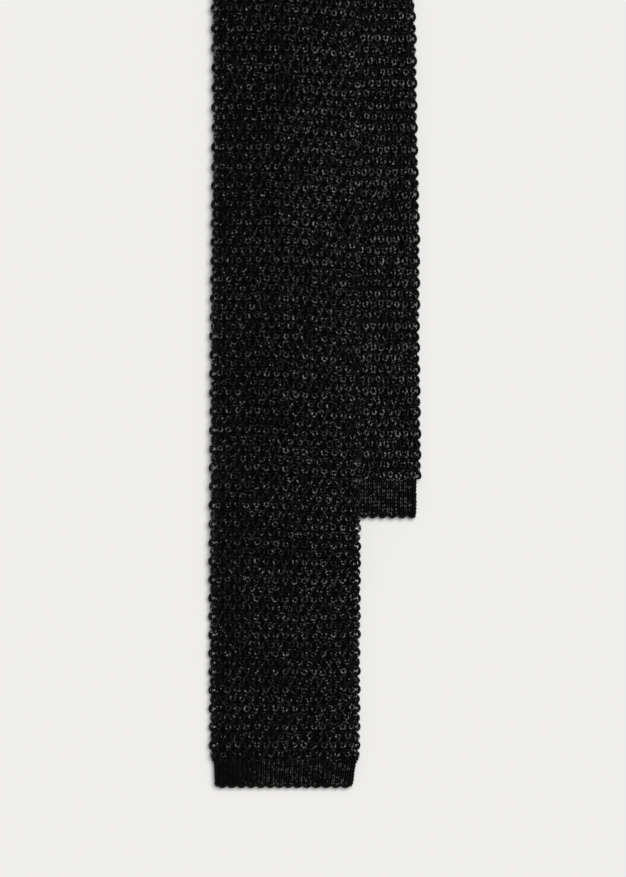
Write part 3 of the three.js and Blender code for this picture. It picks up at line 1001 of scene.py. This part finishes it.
def stitches(name, points, across, node):
    """A line of small stitches at points, each lying along across."""
    heap = Heap()
    t = np.linspace(-1, 1, 7)
    P = points[:, None] + t[None, :, None] * np.array(across, float)
    P[..., 2] = under(P[..., 0], P[..., 1]) - 0.44 - 0.2 * (1 - t[None] ** 4) + 0.1
    N = np.zeros_like(P)
    N[..., 2] = -1
    heap.strands(P, N, 0.15, 6, 0)
    return on(heap.mesh(name, [THREAD]), "front_middle", [node])


label("keeper", -34.5, 9.6, -196, -180, RIBBON, "keeper_label", 0.9)
yy = np.arange(-194.6, -181, 1.15)
stitches("keeper_stitches_left", np.stack([np.full_like(yy, -34.0), yy, 0 * yy], -1), (1.2, 0, 0), "keeper_stitch_left")
stitches("keeper_stitches_right", np.stack([np.full_like(yy, 9.1), yy, 0 * yy], -1), (1.2, 0, 0), "keeper_stitch_right")
label("care", -24, -1, -232, -202, CARE, "care_label", 0.8)
xx = np.arange(-22.5, -2, 1.6)
stitches("care_stitches", np.stack([xx, np.full_like(xx, -202.6), 0 * xx], -1), (0.6, 0, 0), "care_label_stitch")

# ------------------------------------------------------------------ floor, light, camera
floor = bpy.data.meshes.new("floor")
F = 40.0
floor.from_pydata([(-F, -F, -0.0006), (F, -F, -0.0006), (F, F, -0.0006), (-F, F, -0.0006)], [], [(0, 1, 2, 3)])
floor_ob = bpy.data.objects.new("floor", floor)
bpy.context.scene.collection.objects.link(floor_ob)
pale = bpy.data.materials.new("pale_floor")
pale.use_nodes = True
pb = pale.node_tree.nodes["Principled BSDF"]
pb.inputs["Base Color"].default_value = (0.905, 0.896, 0.880, 1)
pb.inputs["Roughness"].default_value = 1.0
pb.inputs["Specular IOR Level"].default_value = 0.0
floor.materials.append(pale)

world = bpy.data.worlds.new("studio")
bpy.context.scene.world = world
world.use_nodes = True
nodes, links = world.node_tree.nodes, world.node_tree.links
bg = nodes["Background"]
bg.inputs["Color"].default_value = (1.0, 1.0, 1.0, 1)
bg.inputs["Strength"].default_value = 0.16
paper = nodes.new("ShaderNodeBackground")
paper.inputs["Color"].default_value = (0.870, 0.862, 0.846, 1)
paper.inputs["Strength"].default_value = 1.0
ray, either = nodes.new("ShaderNodeLightPath"), nodes.new("ShaderNodeMixShader")
links.new(ray.outputs["Is Camera Ray"], either.inputs["Fac"])
links.new(bg.outputs["Background"], either.inputs[1])
links.new(paper.outputs["Background"], either.inputs[2])
links.new(either.outputs["Shader"], nodes["World Output"].inputs["Surface"])


def sun(name, aim, energy, angle):
    d = bpy.data.lights.new(name, "SUN")
    d.energy, d.angle = energy, angle
    o = bpy.data.objects.new(name, d)
    bpy.context.scene.collection.objects.link(o)
    from mathutils import Vector

    o.rotation_mode = "QUATERNION"
    o.rotation_quaternion = (-Vector(aim).normalized()).to_track_quat("-Z", "Y")
    return o


sun("key", (0.27, 0.29, 1.0), 2.71, math.radians(42))

cam = bpy.data.cameras.new("camera")
cam.sensor_width, cam.lens = 36.0, 200.0
cam.clip_start, cam.clip_end = 0.05, 200.0
cam_ob = bpy.data.objects.new("camera", cam)
bpy.context.scene.collection.objects.link(cam_ob)
cam_ob.location = (-0.85 * MM, -248.5 * MM, 2.0684)
cam_ob.rotation_euler = (0, 0, 0)
bpy.context.scene.camera = cam_ob
bpy.context.scene.view_settings.view_transform = "Standard"
bpy.context.scene.view_settings.look = "None"

bpy.context.view_layer.update()
